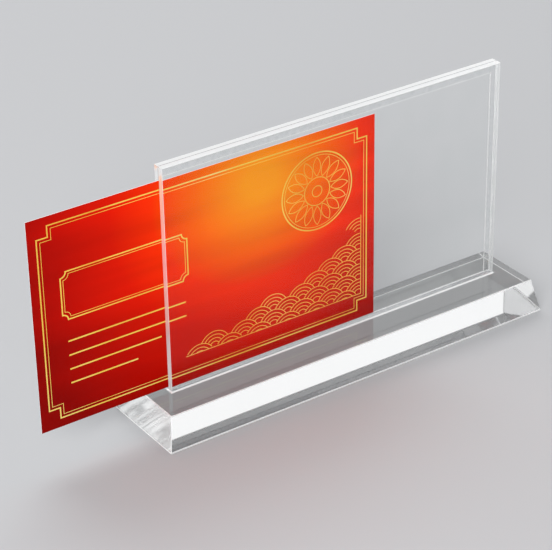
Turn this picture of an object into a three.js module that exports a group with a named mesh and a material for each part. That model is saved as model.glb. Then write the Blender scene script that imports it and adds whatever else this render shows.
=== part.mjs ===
// A desk sign holder: a clear block with sloping sides carries an upright panel
// of two clear panes, and a printed card slides sideways into the slot between them.
// Millimetres. +X runs along the panel, towards the closed end of its slot.
// +Y runs from the front pane to the rear pane. +Z is up.
// The origin is the centre of the block's underside.

import * as THREE from 'three';

// Printed card
const CARD_LENGTH = 200;
const CARD_HEIGHT = 116;
const CARD_THICKNESS = 0.4;
const CARD_DRAWN_OUT = 72.5; // how far it stands out of the slot's open end

// Room that the slot leaves round the card
const CARD_SIDE_CLEARANCE = 0.15; // on each face
const CARD_FLOOR_CLEARANCE = 0.2;
const CARD_HEAD_CLEARANCE = 2.4;
const CARD_END_CLEARANCE = 3; // slot length that is left when the card is flush with the mouth

// Thin strips that close three sides of the slot
const TOP_STRIP_HEIGHT = 5;
const END_STRIP_WIDTH = 5;
const FLOOR_STRIP_HEIGHT = 1.7;
const FLOOR_STRIP_SETBACK = 4.4; // from the open end
const STRIP_RECESS = 0.3; // how far the panes' edges stand proud of the strips, which leaves a seam

// Clear panes
const PANE_THICKNESS = 3.1;
const PANE_ARRIS = 0.25; // flat polished on each outer edge

// Base block
const BASE_HEIGHT = 18.7;
const END_LEDGE = 12; // top of the block beyond each end of the panel
const SIDE_LEDGE = 18.35; // top of the block in front of the panel and behind it
const END_BEVEL = 4; // how far an end leans in over the block's height
const SIDE_BEVEL = 4.7; // how far the front and the back lean in
const BASE_ARRIS = 0.4; // flat polished on each edge

// Sizes that follow from those above
const SLOT_WIDTH = CARD_THICKNESS + 2 * CARD_SIDE_CLEARANCE;
const SLOT_LENGTH = CARD_LENGTH + CARD_END_CLEARANCE;
const SLOT_HEIGHT = CARD_FLOOR_CLEARANCE + CARD_HEIGHT + CARD_HEAD_CLEARANCE;
const PANEL_LENGTH = SLOT_LENGTH + END_STRIP_WIDTH;
const PANEL_HEIGHT = FLOOR_STRIP_HEIGHT + SLOT_HEIGHT + TOP_STRIP_HEIGHT;
const PANEL_THICKNESS = SLOT_WIDTH + 2 * PANE_THICKNESS;
const MOUTH_X = -PANEL_LENGTH / 2;
const BASE_TOP_LENGTH = PANEL_LENGTH + 2 * END_LEDGE;
const BASE_TOP_DEPTH = PANEL_THICKNESS + 2 * SIDE_LEDGE;

const clearAcrylic = new THREE.MeshStandardMaterial({
  color: 0xe9f1f3,
  roughness: 0.04,
  metalness: 0,
  transparent: true,
  opacity: 0.3,
});

const printedCard = new THREE.MeshStandardMaterial({
  color: 0xc8200a,
  roughness: 0.35,
  metalness: 0,
});

// A closed solid through a row of outlines. Each outline has the same number of
// points, anticlockwise when seen from the far end of the row.
function loft(outlines) {
  const count = outlines[0].length;
  const last = (outlines.length - 1) * count;
  const indices = [];
  for (let row = 0; row < outlines.length - 1; row++) {
    for (let i = 0; i < count; i++) {
      const near = row * count + i;
      const nearNext = row * count + ((i + 1) % count);
      indices.push(near, nearNext, nearNext + count);
      indices.push(near, nearNext + count, near + count);
    }
  }
  for (let i = 1; i < count - 1; i++) {
    indices.push(0, i + 1, i);
    indices.push(last, last + i, last + i + 1);
  }
  const geometry = new THREE.BufferGeometry();
  geometry.setFromPoints(outlines.flat());
  geometry.setIndex(indices);
  geometry.computeVertexNormals();
  return geometry;
}

// A level rectangle with its corners cut off at 45 degrees.
function cutCornerOutline(length, depth, cut, z) {
  const x = length / 2;
  const y = depth / 2;
  return [
    new THREE.Vector3(-x + cut, -y, z),
    new THREE.Vector3(x - cut, -y, z),
    new THREE.Vector3(x, -y + cut, z),
    new THREE.Vector3(x, y - cut, z),
    new THREE.Vector3(x - cut, y, z),
    new THREE.Vector3(-x + cut, y, z),
    new THREE.Vector3(-x, y - cut, z),
    new THREE.Vector3(-x, -y + cut, z),
  ];
}

// The block's outline at a height, drawn in from its sloping sides by inset.
function baseOutline(z, inset) {
  const rise = 1 - z / BASE_HEIGHT;
  const length = BASE_TOP_LENGTH + 2 * END_BEVEL * rise - 2 * inset;
  const depth = BASE_TOP_DEPTH + 2 * SIDE_BEVEL * rise - 2 * inset;
  return cutCornerOutline(length, depth, BASE_ARRIS, z);
}

function baseBlock() {
  const geometry = loft([
    baseOutline(0, BASE_ARRIS),
    baseOutline(BASE_ARRIS, 0),
    baseOutline(BASE_HEIGHT - BASE_ARRIS, 0),
    baseOutline(BASE_HEIGHT, BASE_ARRIS),
  ]);
  const mesh = new THREE.Mesh(geometry, clearAcrylic);
  mesh.name = 'base_block';
  return mesh;
}

// An upright rectangle that faces +Y. The foot stays where the pane is bonded
// to the block, so only the two ends and the top are drawn in by inset.
function paneOutline(y, inset) {
  const x = PANEL_LENGTH / 2 - inset;
  const top = PANEL_HEIGHT - inset;
  return [
    new THREE.Vector3(-x, y, 0),
    new THREE.Vector3(-x, y, top),
    new THREE.Vector3(x, y, top),
    new THREE.Vector3(x, y, 0),
  ];
}

// A pane from its inner face at y = 0 to its outer face. Only the outer edges
// have an arris: the inner ones are bonded to the strips.
function pane(name) {
  const geometry = loft([
    paneOutline(0, 0),
    paneOutline(PANE_THICKNESS - PANE_ARRIS, 0),
    paneOutline(PANE_THICKNESS, PANE_ARRIS),
  ]);
  const mesh = new THREE.Mesh(geometry, clearAcrylic);
  mesh.name = name;
  return mesh;
}

// A strip that fills the slot's width, from its lowest corner to its highest one.
function strip(name, fromX, toX, fromZ, toZ) {
  const geometry = new THREE.BoxGeometry(toX - fromX, SLOT_WIDTH, toZ - fromZ);
  const mesh = new THREE.Mesh(geometry, clearAcrylic);
  mesh.name = name;
  mesh.position.set((fromX + toX) / 2, 0, (fromZ + toZ) / 2);
  return mesh;
}

// The panel's own frame has its foot at z = 0.
function uprightPanel() {
  const panel = new THREE.Group();
  const topStripFoot = PANEL_HEIGHT - TOP_STRIP_HEIGHT;
  const topStripHead = PANEL_HEIGHT - STRIP_RECESS;
  const endStripX = MOUTH_X + SLOT_LENGTH;
  const farEndX = -MOUTH_X - STRIP_RECESS;

  const rear = pane('rear_pane');
  rear.position.y = SLOT_WIDTH / 2;
  const front = pane('front_pane');
  front.position.y = -SLOT_WIDTH / 2;
  front.rotation.z = Math.PI;

  panel.add(front, rear);
  panel.add(strip('top_strip', MOUTH_X + STRIP_RECESS, farEndX, topStripFoot, topStripHead));
  panel.add(strip('end_strip', endStripX, farEndX, 0, topStripFoot));
  panel.add(strip('floor_strip', MOUTH_X + FLOOR_STRIP_SETBACK, endStripX, 0, FLOOR_STRIP_HEIGHT));
  panel.position.z = BASE_HEIGHT;
  return panel;
}

function insertCard() {
  const geometry = new THREE.BoxGeometry(CARD_LENGTH, CARD_THICKNESS, CARD_HEIGHT);
  const mesh = new THREE.Mesh(geometry, printedCard);
  mesh.name = 'insert_card';
  const slotFloor = BASE_HEIGHT + FLOOR_STRIP_HEIGHT;
  mesh.position.x = MOUTH_X - CARD_DRAWN_OUT + CARD_LENGTH / 2;
  mesh.position.z = slotFloor + CARD_FLOOR_CLEARANCE + CARD_HEIGHT / 2;
  return mesh;
}

const signHolder = new THREE.Group();
signHolder.add(baseBlock(), uprightPanel(), insertCard());

export default signHolder;
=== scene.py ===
"""Looks of a clear desk sign holder with a printed card in its slot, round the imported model."""

import math
from itertools import groupby

import bmesh
import bpy
from mathutils import Matrix, Vector


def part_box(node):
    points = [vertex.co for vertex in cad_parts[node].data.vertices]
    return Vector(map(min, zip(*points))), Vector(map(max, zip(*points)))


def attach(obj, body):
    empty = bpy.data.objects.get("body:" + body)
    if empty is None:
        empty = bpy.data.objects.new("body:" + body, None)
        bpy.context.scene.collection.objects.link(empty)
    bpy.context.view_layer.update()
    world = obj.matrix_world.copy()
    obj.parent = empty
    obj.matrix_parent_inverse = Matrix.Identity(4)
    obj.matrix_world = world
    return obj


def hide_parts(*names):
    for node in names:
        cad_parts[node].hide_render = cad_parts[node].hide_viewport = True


# Camera: place in metres, angles in degrees, lens and sensor in millimetres
CAMERA_PLACE = (-0.5752, -0.7923, 0.6010)
CAMERA_TURN = 34.17  # to the right of +Y
CAMERA_DIP = 29.34  # below the horizon
CAMERA_ROLL = -1.05
CAMERA_LENS = 141.1
SENSOR_WIDTH = 36.0

# Stage
FLOOR_SIZE = 9.0
FLOOR_GAP = 0.0002  # air under the block, so that its underside still mirrors
FLOOR_COLOUR = (0.56, 0.565, 0.58, 1)
FLOOR_ROUGHNESS = 0.6
FLOOR_SHEEN = 0.1
FLOOR_FADE_FROM = 0.5  # distance at which the floor starts to run into the horizon's colour
FLOOR_FADE_TO = 1.8
HORIZON_COLOUR = (0.57, 0.577, 0.593, 1)
OVERHEAD_COLOUR = (0.97, 0.975, 0.98, 1)
OVERHEAD_FROM = 0.42  # upward part of the direction at which the world reaches its overhead colour
WORLD_LIGHT = 0.45  # share of the world's brightness that lights matt surfaces
MAX_BOUNCES = 32
MAX_CLEAR_BOUNCES = 64

# Lamps: place, target, width, height and watts
KEY_LAMP = ((-2.1, -1.8, 1.6), (0, 0, 0.06), 1.65, 1.35, 78)
TOP_LAMP = ((0.3, 1.1, 1.6), (0, 0, 0), 1.6, 1.0, 13)

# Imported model
BLOCK_NODE = "base_block"
PANEL_NODES = ("front_pane", "rear_pane", "top_strip", "end_strip", "floor_strip")
CARD_NODE = "insert_card"
HOLDER_BODY = "holder"
CARD_BODY = "card"

# Faces. The first two are the part of a face's normal along an axis.
LOOKS_ALONG = 0.5  # above this, the face looks that way or is the flat beside one that does
LOOKS_STRAIGHT = 0.9  # above this, it is no flat
TOLERANCE = 1e-7  # for corners that meet and for faces that are split

# Clear acrylic
ACRYLIC_IOR = 1.49
ACRYLIC_STOPS = ((0.3, (0.997, 1.0, 0.999, 1)), (0.7, (0.982, 0.99, 0.988, 1)))
HAZE_SCALE = 60.0
RIPPLE_SCALE = 55.0
RIPPLE_ROUGHNESS = 0.3
RIPPLE_DEPTH = 0.001
GLANCING_LIGHT = 0.1  # share of lamp light that passes a face seen edge on
GLANCING_POWER = 5.0  # how late the light falls off to that share
TRAPPED_DEPTH = 14.0  # after so many bounces, light leaves the acrylic straight on
FOOT_BAND = 0.0012  # height of the sanded band along the foot of the block

# Solvent bonds
BOND_STOPS = ((0.35, (0.98, 0.985, 0.985, 1)), (0.6, (1, 1, 1, 1)))
BOND_GRAIN = 400.0
BOND_PROBE = 0.00005  # how far outside a face its neighbour is looked for
BEAD_WIDTH = 0.0007
BEAD_STEPS = 4

# Print on the card. The glow's place is in shares of the card's length and height.
GLOW_CENTRE = (0.65, 0.85)
GLOW_FADE = (1.28, 0.84)  # how fast the glow fades along the card and up it
GLOW_STOPS = (
    (0.06, (1.0, 0.33, 0.01, 1)),
    (0.24, (1.0, 0.145, 0.002, 1)),
    (0.40, (0.95, 0.028, 0.0, 1)),
    (0.55, (0.71, 0.008, 0.0, 1)),
    (0.74, (0.49, 0.003, 0.0, 1)),
    (0.96, (0.26, 0.001, 0.0, 1)),
)
STREAK_SLANT = 22  # degrees
STREAK_SCALE = (6, 1, 70)
STREAK_ROUGHNESS = 0.45
STREAK_DARK = 0.67  # brightness of the print in the darkest streak
STREAK_LIFT = 0.7  # how much brighter the brightest streak is
PRINT_ROUGHNESS = 0.26

# White stock that the card is made of
STOCK_STOPS = ((0.3, (0.83, 0.827, 0.815, 1)), (0.7, (0.89, 0.888, 0.88, 1)))
STOCK_ROUGHNESS = 0.5
CARD_SHEEN = 0.06
FIBRE_SCALE = 1400.0
FIBRE_ROUGHNESS = 0.06  # what the fibre adds to the roughness
FIBRE_BUMP = 0.08
FIBRE_DEPTH = 0.0001

# Gold foil on the card
FOIL_PROUD = 0.00002  # how far it stands out of the card's face
FOIL_SUNK = 0.00001
FOIL_STOPS = (
    (0.28, (0.88, 0.42, 0.03, 1)),
    (0.5, (1.0, 0.70, 0.10, 1)),
    (0.7, (1.0, 0.88, 0.32, 1)),
)
FOIL_SLANT = -35  # degrees
FOIL_BAND_SCALE = (28, 1, 9)
FOIL_METAL = 0.2
FOIL_ROUGHNESS = 0.28
FOIL_GRAIN = 2600.0
FOIL_GRAIN_ROUGHNESS = 0.12  # what the grain adds to the roughness
MITRE_LIMIT = 0.35  # cosine below which a ribbon's corner gets no wider

# Border on the card, in metres like all that follows. Places start at the card's lower left corner.
BORDER_INSET = 0.005
BORDER_WIDTH = 0.0007
BORDER_FINE_INSET = 0.0068
BORDER_FINE_WIDTH = 0.0003
CORNER_STEP = 0.006

# Band of scales
SCALE_RADIUS = 0.009
SCALE_LINES = (1.0, 0.78, 0.56, 0.34)  # shares of the radius
SCALE_WIDTH = 0.00035
SCALE_STEPS = 30
SCALE_COVER = 0.999  # share of its radius within which a lower scale hides the ones above
SCALE_ROWS = 10
SCALE_LEFT = 0.100
SCALE_RIGHT = 0.1915
SCALE_FOOT = 0.0145
SCALE_TOP = 0.052
SCALE_CURVE = 1.5
SCALE_TAIL = 0.0171  # how far the closing line runs on to the left

# Empty name field and writing rules
FIELD_CORNER = (0.016, 0.058)
FIELD_SIZE = (0.070, 0.026)
FIELD_NOTCH = 0.003
NOTCH_STEPS = 8
FIELD_LINES = ((0.0, 0.0007), (0.0014, 0.0003))  # inset and width
RULE_LEFT = 0.018
RULE_TOP = 0.046
RULE_PITCH = 0.0078
RULE_LENGTHS = (0.066, 0.066, 0.052, 0.038)
RULE_WIDTH = 0.0008

# Medallion
MEDALLION_CENTRE = (0.164, 0.083)
MEDALLION_RINGS = (  # radius and width
    (0.0215, 0.0007),
    (0.0200, 0.0003),
    (0.0078, 0.0005),
    (0.0030, 0.0005),
)
RING_STEPS = 96
PETALS = 16
PETAL_FOOT = 0.0085
PETAL_LENGTH = 0.0105
PETAL_HALF_WIDTH = 0.0023
PETAL_FULLNESS = 0.8
PETAL_LINE = 0.00035
PETAL_STEPS = 12

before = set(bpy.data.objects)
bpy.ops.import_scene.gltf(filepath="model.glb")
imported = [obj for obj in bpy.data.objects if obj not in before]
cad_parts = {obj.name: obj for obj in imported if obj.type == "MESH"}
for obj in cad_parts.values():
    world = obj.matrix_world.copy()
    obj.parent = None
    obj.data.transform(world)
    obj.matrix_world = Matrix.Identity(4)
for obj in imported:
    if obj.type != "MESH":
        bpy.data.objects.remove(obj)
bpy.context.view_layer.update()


def grey(value):
    return (value, value, value, 1)


def new_material(name):
    """An empty node material and its tree."""
    material = bpy.data.materials.new(name)
    material.use_nodes = True
    material.node_tree.nodes.clear()
    return material, material.node_tree


def feed(tree, socket, value):
    """Links a socket to another node's output, or sets it to a plain value."""
    if isinstance(value, bpy.types.NodeSocket):
        tree.links.new(value, socket)
    else:
        socket.default_value = value


def add(tree, kind, **values):
    """A node of that kind. A value goes to the socket or the setting of its name."""
    node = tree.nodes.new("ShaderNode" + kind)
    for name, value in values.items():
        socket = node.inputs.get(name.replace("_", " "))
        if socket is None:
            setattr(node, name, value)
        else:
            feed(tree, socket, value)
    return node


def maths(tree, operation, *values):
    """The result of a Math node on sockets or numbers."""
    node = add(tree, "Math", operation=operation)
    for socket, value in zip(node.inputs, values):
        feed(tree, socket, value)
    return node.outputs[0]


def blend(tree, share, first, second):
    """A colour between two others."""
    node = add(tree, "Mix", data_type="RGBA", clamp_factor=True)
    feed(tree, node.inputs["Factor"], share)
    colours = [socket for socket in node.inputs if socket.type == "RGBA"]
    feed(tree, colours[0], first)
    feed(tree, colours[1], second)
    return next(socket for socket in node.outputs if socket.type == "RGBA")


def ramp(tree, share, *stops):
    """A colour ramp. Each stop is a place and a colour."""
    node = add(tree, "ValToRGB", Fac=share)
    elements = node.color_ramp.elements
    while len(elements) < len(stops):
        elements.new(0.5)  # its place is set below
    for element, (place, colour) in zip(elements, stops):
        element.position = place
        element.color = colour
    return node.outputs["Color"]


def noise(tree, place, scale, detail, **values):
    return add(tree, "TexNoise", Vector=place, Scale=scale, Detail=detail, **values).outputs["Fac"]


def surface(tree, shader):
    """Makes a shader node the material's surface."""
    output = add(tree, "OutputMaterial")
    tree.links.new(shader.outputs[0], output.inputs["Surface"])


def acrylic_material(name, ripple=0.0, roughness=0.0, mirror=1.0, lamp_share=0.97, clearness=1.0):
    """Clear acrylic. The shares are of the usual reflection, of the lamp light that a face lets by, and of
    the light that isn't scattered."""
    material, tree = new_material(name)
    place = add(tree, "TexCoord").outputs["Object"]
    tint = ramp(tree, noise(tree, place, HAZE_SCALE, detail=2.0), *ACRYLIC_STOPS)
    acrylic = add(tree, "BsdfPrincipled", Base_Color=tint, Roughness=roughness, IOR=ACRYLIC_IOR,
                  Transmission_Weight=clearness, Specular_Tint=grey(mirror))
    if ripple:
        waves = noise(tree, place, RIPPLE_SCALE, detail=1.0, Roughness=RIPPLE_ROUGHNESS)
        bump = add(tree, "Bump", Strength=ripple, Distance=RIPPLE_DEPTH, Height=waves)
        feed(tree, acrylic.inputs["Normal"], bump.outputs["Normal"])

    # Lamps and soft light reach through it, less of them at a glancing angle, and trapped light gets out
    glancing = maths(tree, "POWER", add(tree, "LayerWeight").outputs["Facing"], GLANCING_POWER)
    shade = blend(tree, glancing, grey(lamp_share), grey(GLANCING_LIGHT))
    clear = add(tree, "BsdfTransparent", Color=shade)
    ray = add(tree, "LightPath")
    soft = maths(tree, "MAXIMUM", ray.outputs["Is Shadow Ray"], ray.outputs["Is Diffuse Ray"])
    trapped = maths(tree, "GREATER_THAN", ray.outputs["Ray Depth"], TRAPPED_DEPTH)
    mix = add(tree, "MixShader", Fac=maths(tree, "MAXIMUM", soft, trapped))
    tree.links.new(acrylic.outputs[0], mix.inputs[1])
    tree.links.new(clear.outputs[0], mix.inputs[2])
    surface(tree, mix)
    return material


def bond_material():
    """A solvent-bonded face: light passes as if the two pieces were one, with a trace lost where the bond
    is thin."""
    material, tree = new_material("solvent_bond")
    grain = noise(tree, add(tree, "TexCoord").outputs["Object"], BOND_GRAIN, detail=1.0)
    surface(tree, add(tree, "BsdfTransparent", Color=ramp(tree, grain, *BOND_STOPS)))
    return material


def print_colour(tree, place):
    """An orange glow that fades to deep red, with soft slanting streaks."""
    low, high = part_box(CARD_NODE)
    split = add(tree, "SeparateXYZ", Vector=place)
    along = add(tree, "MapRange", Value=split.outputs["X"], From_Min=low.x, From_Max=high.x).outputs[0]
    up = add(tree, "MapRange", Value=split.outputs["Z"], From_Min=low.z, From_Max=high.z).outputs[0]
    off_along = maths(tree, "MULTIPLY", maths(tree, "SUBTRACT", along, GLOW_CENTRE[0]), GLOW_FADE[0])
    off_up = maths(tree, "MULTIPLY", maths(tree, "SUBTRACT", up, GLOW_CENTRE[1]), GLOW_FADE[1])
    off = add(tree, "CombineXYZ", X=off_along, Y=off_up).outputs[0]
    distance = add(tree, "VectorMath", operation="LENGTH", Vector=off).outputs["Value"]
    glow = ramp(tree, distance, *GLOW_STOPS)

    turned = add(tree, "Mapping", Vector=place, Rotation=(0, math.radians(STREAK_SLANT), 0),
                 Scale=STREAK_SCALE).outputs[0]
    streaks = noise(tree, turned, scale=1.0, detail=2.0, Roughness=STREAK_ROUGHNESS)
    brightness = maths(tree, "MULTIPLY_ADD", streaks, STREAK_LIFT, STREAK_DARK)
    return add(tree, "VectorMath", operation="SCALE", Vector=glow, Scale=brightness).outputs[0]


def print_material():
    """A glossy print on a white sheet, whose back and edges are plain stock with a fine fibre."""
    material, tree = new_material("card_print")
    place = add(tree, "TexCoord").outputs["Object"]
    fibre = noise(tree, place, FIBRE_SCALE, detail=3.0)
    stock = ramp(tree, fibre, *STOCK_STOPS)
    normal = add(tree, "SeparateXYZ", Vector=add(tree, "NewGeometry").outputs["True Normal"])
    printed = maths(tree, "LESS_THAN", normal.outputs["Y"], -LOOKS_ALONG)
    colour = blend(tree, printed, stock, print_colour(tree, place))
    smooth = maths(tree, "MULTIPLY_ADD", printed, PRINT_ROUGHNESS - STOCK_ROUGHNESS, STOCK_ROUGHNESS)
    rough = maths(tree, "MULTIPLY_ADD", fibre, FIBRE_ROUGHNESS, smooth)
    bump = add(tree, "Bump", Strength=FIBRE_BUMP, Distance=FIBRE_DEPTH, Height=fibre)
    surface(tree, add(tree, "BsdfPrincipled", Base_Color=colour, Roughness=rough,
                      Normal=bump.outputs["Normal"], Specular_IOR_Level=CARD_SHEEN))
    return material


def foil_material():
    """Gold that shades from amber to pale yellow over the card."""
    material, tree = new_material("gold_foil")
    place = add(tree, "TexCoord").outputs["Object"]
    turned = add(tree, "Mapping", Vector=place, Rotation=(0, math.radians(FOIL_SLANT), 0),
                 Scale=FOIL_BAND_SCALE).outputs[0]
    colour = ramp(tree, noise(tree, turned, scale=1.0, detail=1.0), *FOIL_STOPS)
    grain = noise(tree, place, FOIL_GRAIN, detail=2.0)
    rough = maths(tree, "MULTIPLY_ADD", grain, FOIL_GRAIN_ROUGHNESS, FOIL_ROUGHNESS)
    surface(tree, add(tree, "BsdfPrincipled", Base_Color=colour, Metallic=FOIL_METAL, Roughness=rough))
    return material


def make_piece(name, mesh, materials, body):
    """A new piece that rides a body. The bmesh that it is made from is used up."""
    data = bpy.data.meshes.new(name)
    mesh.to_mesh(data)
    mesh.free()
    for material in materials:
        data.materials.append(material)
    piece = bpy.data.objects.new(name, data)
    bpy.context.scene.collection.objects.link(piece)
    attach(piece, body)
    return piece


def join_rows(mesh, rows, closed):
    """Faces between rows of vertices, each row a ring. Closed rows meet again, and others get end faces."""
    spans = len(rows) if closed else len(rows) - 1
    for i in range(spans):
        this, then = rows[i], rows[(i + 1) % len(rows)]
        for k in range(len(this)):
            beside = (k + 1) % len(this)
            mesh.faces.new((this[k], this[beside], then[beside], then[k]))
    if not closed:
        mesh.faces.new(reversed(rows[0]))
        mesh.faces.new(rows[-1])


def panel_corners():
    """The lowest and the highest corner of the upright panel."""
    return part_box("front_pane")[0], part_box("rear_pane")[1]


def make_foot_bead(material):
    """The fine fillet with a hollow face that the solvent leaves round the panel's foot."""
    low, high = panel_corners()
    corners = (
        (low.x, low.y, -1, -1),
        (high.x, low.y, 1, -1),
        (high.x, high.y, 1, 1),
        (low.x, high.y, -1, 1),
    )
    mesh = bmesh.new()
    rows = []
    for x, y, out_x, out_y in corners:
        row = [mesh.verts.new((x, y, low.z))]
        for step in range(BEAD_STEPS + 1):
            angle = math.pi / 2 * step / BEAD_STEPS
            reach = BEAD_WIDTH * (1 - math.sin(angle))
            rise = BEAD_WIDTH * (1 - math.cos(angle))
            row.append(mesh.verts.new((x + out_x * reach, y + out_y * reach, low.z + rise)))
        rows.append(row)
    join_rows(mesh, rows, closed=True)
    bmesh.ops.recalc_face_normals(mesh, faces=mesh.faces)
    make_piece("panel_foot_bead", mesh, [material], HOLDER_BODY)


def split_faces(mesh, place, normal):
    """Splits every face that crosses the plane."""
    parts = mesh.verts[:] + mesh.edges[:] + mesh.faces[:]
    bmesh.ops.bisect_plane(mesh, geom=parts, dist=TOLERANCE, plane_co=place, plane_no=normal)


def inside(point, box):
    low, high = box
    return all(low[i] < point[i] < high[i] for i in range(3))


def under_panel():
    """The room that the block fills under the panel and its bead, as a box."""
    block_low, block_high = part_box(BLOCK_NODE)
    low, high = panel_corners()
    return (Vector((block_low.x, low.y - BEAD_WIDTH, block_low.z)),
            Vector((block_high.x, high.y + BEAD_WIDTH, block_high.z)))


def bonded_boxes(node):
    """Boxes of the pieces that this one is bonded to."""
    boxes = [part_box(name) for name in PANEL_NODES if name != node]
    if node != BLOCK_NODE:
        boxes.append(under_panel())
    return boxes


def clear_piece(node, materials, pick, bands=()):
    """A clear piece in the place of its node. The first material is a bonded face's, and pick gives the
    place in the list of any other face's. Bands are heights at which the sides are split as well."""
    mesh = bmesh.new()
    mesh.from_mesh(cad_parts[node].data)
    bmesh.ops.remove_doubles(mesh, verts=mesh.verts, dist=TOLERANCE)

    # What a neighbour touches becomes a face of its own
    neighbours = bonded_boxes(node)
    for box in neighbours:
        for corner in box:
            for normal in ((1, 0, 0), (0, 1, 0), (0, 0, 1)):
                split_faces(mesh, corner, normal)
    for height in bands:
        split_faces(mesh, (0, 0, height), (0, 0, 1))

    mesh.normal_update()
    for face in mesh.faces:
        probe = face.calc_center_median() + face.normal * BOND_PROBE
        bonded = any(inside(probe, box) for box in neighbours)
        face.material_index = 0 if bonded else pick(face)
    piece = make_piece(node + "_clear", mesh, materials, HOLDER_BODY)
    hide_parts(node)


def block_face(face):
    """1 for the large faces along the block, 2 for its sloping ends, and 3 for the flats on its edges and
    the sanded band along its foot."""
    largest = max(abs(part) for part in face.normal)
    in_band = 0.0 < face.calc_center_median().z < FOOT_BAND
    if largest < LOOKS_STRAIGHT or in_band:
        return 3
    return 2 if abs(face.normal.x) == largest else 1


def pane_face(face):
    """1 for the two large faces, 2 for the top and the closed end with their flats, and 3 for the slot's
    open end with its flats."""
    if abs(face.normal.y) > LOOKS_STRAIGHT:
        return 1
    return 3 if face.normal.x < -LOOKS_ALONG else 2


def make_holder():
    bond = bond_material()
    block = acrylic_material("clear_acrylic_block", lamp_share=0.6)
    block_end = acrylic_material("clear_acrylic_block_end", ripple=0.15, roughness=0.1, lamp_share=0.6,
                                 clearness=0.72)
    pane = acrylic_material("clear_acrylic_pane", mirror=0.04, lamp_share=0.995)
    edge = acrylic_material("satin_acrylic_edge", roughness=0.3, clearness=0.35)
    mouth = acrylic_material("satin_acrylic_mouth", roughness=0.2, clearness=0.55)
    bead = acrylic_material("solvent_bead", roughness=0.15, clearness=0.25)
    clear_piece(BLOCK_NODE, (bond, block, block_end, edge), block_face, bands=(FOOT_BAND,))
    for name in PANEL_NODES:
        clear_piece(name, (bond, pane, edge, mouth), pane_face)
    make_foot_bead(bead)


def ribbon(mesh, points, width, closed=False):
    """A thin strip of foil along points on the card's face, given as distances along it and up it."""
    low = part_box(CARD_NODE)[0]
    near = low.y - FOIL_PROUD
    far = low.y + FOIL_SUNK
    points = [Vector(point) for point in points]
    rows = []
    for i, point in enumerate(points):
        before = points[i - 1] if closed or i > 0 else point
        after = points[(i + 1) % len(points)] if closed or i < len(points) - 1 else point
        first = (point - before).normalized()
        second = (after - point).normalized()
        along = (first + second).normalized()
        mitre = max(along.dot(first), along.dot(second), MITRE_LIMIT)
        side = Vector((-along.y, along.x)) * width / 2 / mitre
        row = []
        for sign, depth in ((1, near), (-1, near), (-1, far), (1, far)):
            at = point + side * sign
            row.append(mesh.verts.new((low.x + at.x, depth, low.z + at.y)))
        rows.append(row)
    join_rows(mesh, rows, closed)


def arc(centre, radius, start, end, steps):
    """Points along an arc. Angles are in degrees."""
    points = []
    for i in range(steps + 1):
        angle = math.radians(start + (end - start) * i / steps)
        points.append((centre[0] + radius * math.cos(angle), centre[1] + radius * math.sin(angle)))
    return points


def foil_piece(name, mesh, foil):
    bmesh.ops.recalc_face_normals(mesh, faces=mesh.faces)
    make_piece(name, mesh, [foil], CARD_BODY)


def stepped_frame(inset, step):
    """A frame round the card whose corners step inwards once."""
    low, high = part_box(CARD_NODE)
    right = high.x - low.x - inset
    top = high.z - low.z - inset
    far_right, far_top, near = right - step, top - step, inset + step
    return [(near, inset), (far_right, inset), (far_right, near), (right, near), (right, far_top),
            (far_right, far_top), (far_right, top), (near, top), (near, far_top), (inset, far_top),
            (inset, near), (near, near)]


def make_border(foil):
    mesh = bmesh.new()
    ribbon(mesh, stepped_frame(BORDER_INSET, CORNER_STEP), BORDER_WIDTH, closed=True)
    ribbon(mesh, stepped_frame(BORDER_FINE_INSET, CORNER_STEP), BORDER_FINE_WIDTH, closed=True)
    foil_piece("card_foil_border", mesh, foil)


def scale_limit(x):
    """The height that the band of scales reaches there."""
    if x < SCALE_LEFT:
        return SCALE_FOOT - SCALE_RADIUS / 2
    share = (x - SCALE_LEFT) / (SCALE_RIGHT - SCALE_LEFT)
    return SCALE_FOOT + (SCALE_TOP - SCALE_FOOT) * share ** SCALE_CURVE


def make_scales(foil):
    """A band of overlapping round scales, each with rings, whose upper edge rises in a curve."""
    mesh = bmesh.new()

    # Scales whose centres lie just outside the band still reach into it
    columns = int((SCALE_RIGHT - SCALE_LEFT) / (2 * SCALE_RADIUS)) + 2
    for row in range(-2, SCALE_ROWS):
        z = SCALE_FOOT + row * SCALE_RADIUS / 2
        shift = SCALE_RADIUS if row % 2 else 0.0
        for column in range(-1, columns):
            x = SCALE_LEFT + shift + column * 2 * SCALE_RADIUS
            if z <= scale_limit(x):
                draw_scale(mesh, x, z)
    closing = [(SCALE_LEFT - SCALE_TAIL, SCALE_FOOT), (SCALE_RIGHT, SCALE_FOOT),
               (SCALE_RIGHT, SCALE_TOP + SCALE_RADIUS)]
    ribbon(mesh, closing, SCALE_WIDTH)
    foil_piece("card_foil_scales", mesh, foil)


def scale_shows(point, below):
    """Whether a point of a scale's ring is in the band and no scale below covers it."""
    covered = any(math.dist(point, other) < SCALE_RADIUS * SCALE_COVER for other in below)
    return point[0] < SCALE_RIGHT and point[1] > SCALE_FOOT and not covered


def draw_scale(mesh, x, z):
    """The stretches of one scale's rings that show."""
    below = [(x - SCALE_RADIUS, z - SCALE_RADIUS / 2), (x + SCALE_RADIUS, z - SCALE_RADIUS / 2),
             (x, z - SCALE_RADIUS)]
    for share in SCALE_LINES:
        ring = arc((x, z), SCALE_RADIUS * share, 0, 180, SCALE_STEPS)
        for shows, points in groupby(ring, lambda point: scale_shows(point, below)):
            stretch = list(points)
            if shows and len(stretch) > 1:
                ribbon(mesh, stretch, SCALE_WIDTH)


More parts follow.
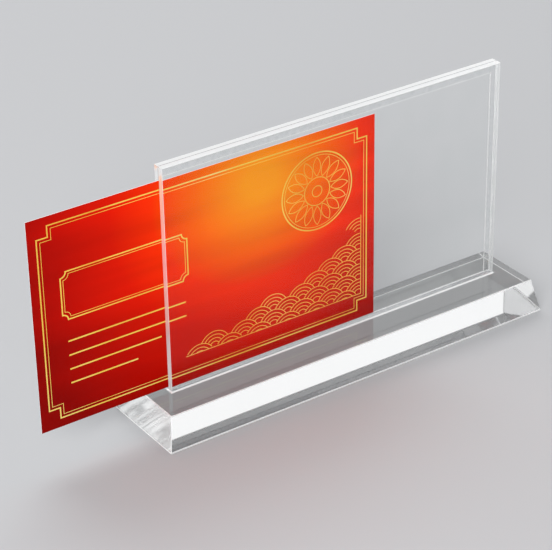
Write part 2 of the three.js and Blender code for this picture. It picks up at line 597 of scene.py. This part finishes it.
def make_field(foil):
    """An empty name field with notched corners, and writing rules under it."""
    mesh = bmesh.new()
    for inset, width in FIELD_LINES:
        left = FIELD_CORNER[0] + inset
        foot = FIELD_CORNER[1] + inset
        right = FIELD_CORNER[0] + FIELD_SIZE[0] - inset
        top = FIELD_CORNER[1] + FIELD_SIZE[1] - inset
        outline = arc((left, foot), FIELD_NOTCH, 90, 0, NOTCH_STEPS)
        outline += arc((right, foot), FIELD_NOTCH, 180, 90, NOTCH_STEPS)
        outline += arc((right, top), FIELD_NOTCH, 270, 180, NOTCH_STEPS)
        outline += arc((left, top), FIELD_NOTCH, 0, -90, NOTCH_STEPS)
        ribbon(mesh, outline, width, closed=True)
    for i, length in enumerate(RULE_LENGTHS):
        height = RULE_TOP - i * RULE_PITCH
        ribbon(mesh, [(RULE_LEFT, height), (RULE_LEFT + length, height)], RULE_WIDTH)
    foil_piece("card_foil_field", mesh, foil)


def petal(angle):
    """The outline of a petal that points away from the medallion's centre."""
    out = Vector((math.cos(angle), math.sin(angle)))
    side = Vector((-out.y, out.x))
    steps = [(k, 1) for k in range(PETAL_STEPS + 1)] + [(k, -1) for k in range(PETAL_STEPS - 1, 0, -1)]
    points = []
    for k, sign in steps:
        share = k / PETAL_STEPS
        bulge = PETAL_HALF_WIDTH * math.sin(math.pi * share) ** PETAL_FULLNESS
        reach = PETAL_FOOT + PETAL_LENGTH * share
        points.append(Vector(MEDALLION_CENTRE) + out * reach + side * sign * bulge)
    return points


def make_medallion(foil):
    """A round ornament of petals between rings."""
    mesh = bmesh.new()
    for radius, width in MEDALLION_RINGS:
        ribbon(mesh, arc(MEDALLION_CENTRE, radius, 0, 360, RING_STEPS)[:-1], width, closed=True)
    for i in range(PETALS):
        ribbon(mesh, petal(2 * math.pi * i / PETALS), PETAL_LINE, closed=True)
    foil_piece("card_foil_medallion", mesh, foil)


def make_card():
    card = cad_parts[CARD_NODE]
    card.data.materials.clear()
    card.data.materials.append(print_material())
    foil = foil_material()
    make_border(foil)
    make_scales(foil)
    make_field(foil)
    make_medallion(foil)


def make_camera():
    data = bpy.data.cameras.new("camera")
    data.lens = CAMERA_LENS
    data.sensor_width = SENSOR_WIDTH
    camera = bpy.data.objects.new("camera", data)
    bpy.context.scene.collection.objects.link(camera)
    turn = Matrix.Rotation(math.radians(-CAMERA_TURN), 4, "Z")
    dip = Matrix.Rotation(math.radians(90 - CAMERA_DIP), 4, "X")
    roll = Matrix.Rotation(math.radians(CAMERA_ROLL), 4, "Z")
    camera.matrix_world = Matrix.Translation(CAMERA_PLACE) @ turn @ dip @ roll
    bpy.context.scene.camera = camera


def make_lamp(name, place, target, width, height, watts):
    data = bpy.data.lights.new(name, "AREA")
    data.shape = "RECTANGLE"
    data.size = width
    data.size_y = height
    data.energy = watts
    lamp = bpy.data.objects.new(name, data)
    bpy.context.scene.collection.objects.link(lamp)
    lamp.location = place
    lamp.rotation_euler = (Vector(target) - Vector(place)).to_track_quat("-Z", "Y").to_euler()

    # The clear pieces show the pale studio, not the lamps
    lamp.visible_transmission = False
    lamp.visible_glossy = False


def make_world():
    """A pale studio: the camera and the clear pieces see it bright, and it lights softly."""
    world = bpy.data.worlds.new("studio")
    bpy.context.scene.world = world
    world.use_nodes = True
    tree = world.node_tree
    split = add(tree, "SeparateXYZ", Vector=add(tree, "TexCoord").outputs["Generated"])
    seen = ramp(tree, split.outputs["Z"], (0.0, HORIZON_COLOUR), (OVERHEAD_FROM, OVERHEAD_COLOUR))
    diffuse = add(tree, "LightPath").outputs["Is Diffuse Ray"]
    background = tree.nodes["Background"]
    feed(tree, background.inputs["Color"], seen)
    feed(tree, background.inputs["Strength"], maths(tree, "MULTIPLY_ADD", diffuse, WORLD_LIGHT - 1, 1.0))


def floor_material():
    """A matt floor. Far from the object, the camera and the clear pieces see it in the horizon's colour."""
    material, tree = new_material("floor")
    matt = add(tree, "BsdfPrincipled", Base_Color=FLOOR_COLOUR, Roughness=FLOOR_ROUGHNESS,
               Specular_IOR_Level=FLOOR_SHEEN)
    horizon = add(tree, "Emission", Color=HORIZON_COLOUR, Strength=1.0)
    place = add(tree, "TexCoord").outputs["Object"]
    distance = add(tree, "VectorMath", operation="LENGTH", Vector=place).outputs["Value"]
    far = add(tree, "MapRange", Value=distance, From_Min=FLOOR_FADE_FROM, From_Max=FLOOR_FADE_TO,
              interpolation_type="SMOOTHSTEP").outputs[0]
    ray = add(tree, "LightPath")
    seen = maths(tree, "MAXIMUM", ray.outputs["Is Camera Ray"], ray.outputs["Is Glossy Ray"])
    seen = maths(tree, "MAXIMUM", seen, ray.outputs["Is Transmission Ray"])
    mix = add(tree, "MixShader", Fac=maths(tree, "MULTIPLY", far, seen))
    tree.links.new(matt.outputs[0], mix.inputs[1])
    tree.links.new(horizon.outputs[0], mix.inputs[2])
    surface(tree, mix)
    return material


def make_floor():
    bpy.ops.mesh.primitive_plane_add(size=FLOOR_SIZE, location=(0, 0, -FLOOR_GAP))
    floor = bpy.context.object
    floor.name = "floor"
    floor.data.materials.append(floor_material())


def make_stage():
    scene = bpy.context.scene
    scene.view_settings.view_transform = "Standard"
    scene.cycles.max_bounces = MAX_BOUNCES
    scene.cycles.transmission_bounces = MAX_BOUNCES
    scene.cycles.glossy_bounces = MAX_BOUNCES
    scene.cycles.transparent_max_bounces = MAX_CLEAR_BOUNCES
    scene.cycles.caustics_refractive = False
    scene.cycles.caustics_reflective = False
    make_world()
    make_floor()
    make_lamp("key", *KEY_LAMP)
    make_lamp("top", *TOP_LAMP)


make_camera()
make_stage()
make_holder()
make_card()
